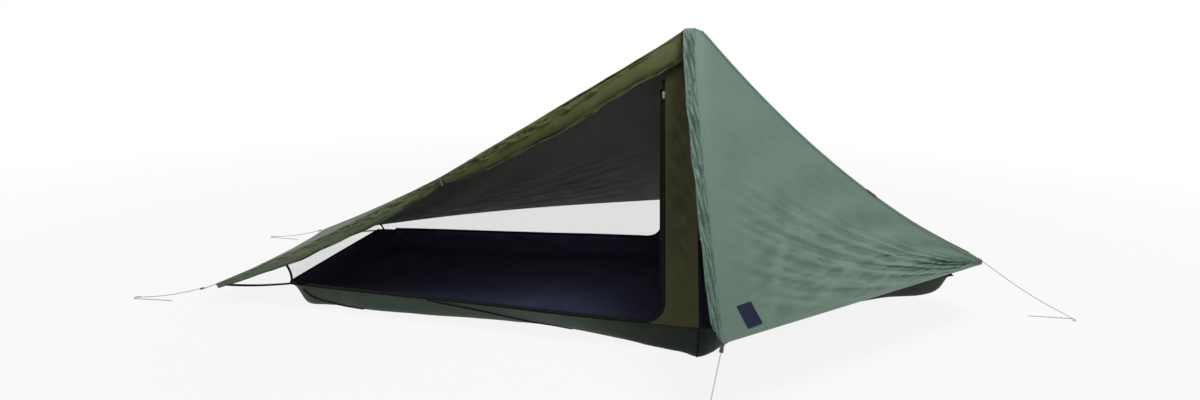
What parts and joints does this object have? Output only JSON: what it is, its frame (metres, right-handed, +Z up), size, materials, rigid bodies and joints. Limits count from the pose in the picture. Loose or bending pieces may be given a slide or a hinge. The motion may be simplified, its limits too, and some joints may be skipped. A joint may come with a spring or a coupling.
{
  "type": "trekking pole tent",
  "caption": "Low trekking pole tent: sloping fly with a rolled-up door, netting inner with zipped doors on a bathtub floor, leaning poles under a ridge strut, guylines and pegs.",
  "frame": {"origin": "on the ground, on the underside of the bathtub floor, straight under the peak", "axes": "+X toward the low head end, -Y toward the side with the rolled-up door, +Z up"},
  "size_m": [3.85, 2.4444, 1.1415],
  "materials": {
    "roof_cloth": "ripstop nylon, olive, slight sheen",
    "door_cloth": "ripstop nylon, sage green, slight sheen",
    "flap_cloth": "ripstop nylon, pale blue-green, wrinkled",
    "floor_cloth": "coated nylon, dark green",
    "panel_cloth": "plain nylon, dark olive",
    "netting": "fine netting, see-through",
    "binding": "woven webbing, near-black",
    "black_plastic": "moulded, matt",
    "patch_cloth": "bare woven patch, navy",
    "line": "braided cord, cream",
    "shaft": "anodised tube",
    "grip": "closed-cell foam, matt",
    "peg": "bent round rod",
    "zip_slider": "cast, pale grey"
  },
  "bodies": {
    "tent": {"bathtub_floor": "floor_cloth", "door_patch": "patch_cloth", "door_tie": "binding", "door_toggle": "black_plastic", "end_net": "netting", "far_foot_door": "door_cloth", "far_foot_guyline": "line", "far_foot_peg": "peg", "far_foot_strap": "binding", "far_foot_tightener": "black_plastic", "far_head_door": "door_cloth", "far_head_net": "netting", "far_pole_cup": "black_plastic", "far_pole_grip": "grip", "far_pole_tab": "binding", "far_pole_upper": "shaft", "far_side_guyline": "line", "far_side_panel": "panel_cloth", "far_side_peg": "peg", "far_side_tightener": "black_plastic", "far_storm_flap": "flap_cloth", "far_top_net": "netting", "far_wrist_strap": "binding", "far_zip_tape": "binding", "fly_roof_foot": "roof_cloth", "fly_roof_head": "roof_cloth", "foot_net": "netting", "head_guyline": "line", "head_peg": "peg", "head_strap": "binding", "head_tightener": "black_plastic", "near_foot_door_roll": "roof_cloth", "near_foot_guyline": "line", "near_foot_peg": "peg", "near_foot_strap": "binding", "near_foot_tightener": "black_plastic", "near_head_door": "door_cloth", "near_head_net": "netting", "near_pole_cup": "black_plastic", "near_pole_grip": "grip", "near_pole_tab": "binding", "near_pole_upper": "shaft", "near_side_guyline": "line", "near_side_panel": "panel_cloth", "near_side_peg": "peg", "near_side_tightener": "black_plastic", "near_storm_flap": "flap_cloth", "near_top_net": "netting", "near_wrist_strap": "binding", "near_zip_tape": "binding", "peak_cap": "roof_cloth", "ridge_strut": "shaft"},
    "far_net_door": {"far_net_door": "netting"},
    "far_pole_lever": {"far_pole_lever": "black_plastic"},
    "far_pole_lower": {"far_pole_lower": "shaft"},
    "far_slider": {"far_slider": "zip_slider"},
    "near_net_door": {"near_net_door": "netting"},
    "near_pole_lever": {"near_pole_lever": "black_plastic"},
    "near_pole_lower": {"near_pole_lower": "shaft"},
    "near_slider": {"near_slider": "zip_slider"}
  },
  "joints": [
    {"name": "near_net_door_hinge", "type": "hinge", "parent": "tent", "child": "near_net_door", "pos_m": [-0.09004, -0.15329, 0.93021], "axis": [-0.8663, -0.1353, -0.4809], "range_deg": [0, 60]},
    {"name": "far_net_door_hinge", "type": "hinge", "parent": "tent", "child": "far_net_door", "pos_m": [-0.09004, 0.15329, 0.93021], "axis": [0.8663, -0.1353, 0.4809], "range_deg": [0, 12]},
    {"name": "near_slider_travel", "type": "slide", "parent": "tent", "child": "near_slider", "axis": [0.038, -0.4041, -0.9139], "range_m": [0, 0.69]},
    {"name": "far_slider_travel", "type": "slide", "parent": "tent", "child": "far_slider", "axis": [0.038, 0.4041, -0.9139], "range_m": [0, 0.69]},
    {"name": "near_pole_length", "type": "slide", "parent": "tent", "child": "near_pole_lower", "axis": [-0.041, 0.3599, 0.9321], "range_m": [0, 0.35]},
    {"name": "far_pole_length", "type": "slide", "parent": "tent", "child": "far_pole_lower", "axis": [-0.041, -0.3599, 0.9321], "range_m": [0, 0.35]},
    {"name": "near_lever_hinge", "type": "hinge", "parent": "tent", "child": "near_pole_lever", "pos_m": [0.05024, -0.30887, 0.46191], "axis": [0, -0.9329, 0.3602], "range_deg": [0, 90]},
    {"name": "far_lever_hinge", "type": "hinge", "parent": "tent", "child": "far_pole_lever", "pos_m": [0.05024, 0.30887, 0.46191], "axis": [0, -0.9329, -0.3602], "range_deg": [0, 90]}
  ]
}
